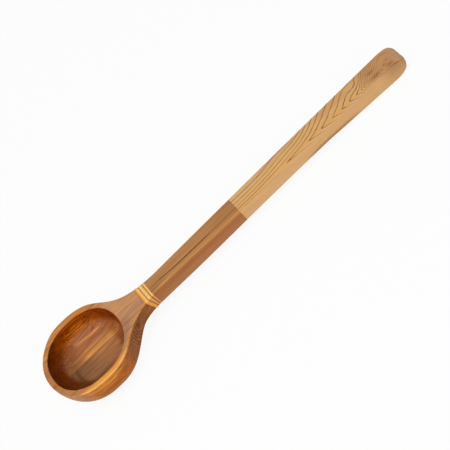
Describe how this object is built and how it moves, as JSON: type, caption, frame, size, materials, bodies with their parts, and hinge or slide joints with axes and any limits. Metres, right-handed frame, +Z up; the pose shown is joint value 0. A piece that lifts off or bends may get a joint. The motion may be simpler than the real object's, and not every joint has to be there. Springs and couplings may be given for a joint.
{
  "type": "sauna ladle",
  "caption": "Wooden sauna ladle with a carved round bowl, a square-sided neck, a laminated pale band and a long flat-topped handle of dark and pale wood.",
  "frame": {"origin": "middle of the ladle's box on the surface that it lies on", "axes": "+X from the bowl to the end of the handle, +Y across, +Z up, as the ladle lies on its foot and heel"},
  "size_m": [0.4486, 0.0954, 0.0333],
  "materials": {
    "bowl_wood": "oiled, satin, red-brown with gold streaks",
    "band_bright_wood": "oiled, satin, bright yellow",
    "band_dark_wood": "oiled, satin, dark brown",
    "band_core_wood": "oiled, satin, tan",
    "handle_dark_wood": "oiled, satin, mid brown with straight grain",
    "handle_pale_wood": "oiled, satin, pale tan with ring figure",
    "dowel_wood": "bare, fluted stock"
  },
  "bodies": {
    "root": {"bowl": "bowl_wood", "band_strip_bowl_side": "band_bright_wood", "band_veneer_bowl_side": "band_dark_wood", "band_core": "band_core_wood", "band_veneer_handle_side": "band_dark_wood", "band_strip_handle_side": "band_bright_wood", "handle_lower": "handle_dark_wood", "handle_upper": "handle_pale_wood", "neck_dowel_near": "dowel_wood", "neck_dowel_far": "dowel_wood", "handle_dowel_near": "dowel_wood", "handle_dowel_far": "dowel_wood"}
  },
  "joints": []
}
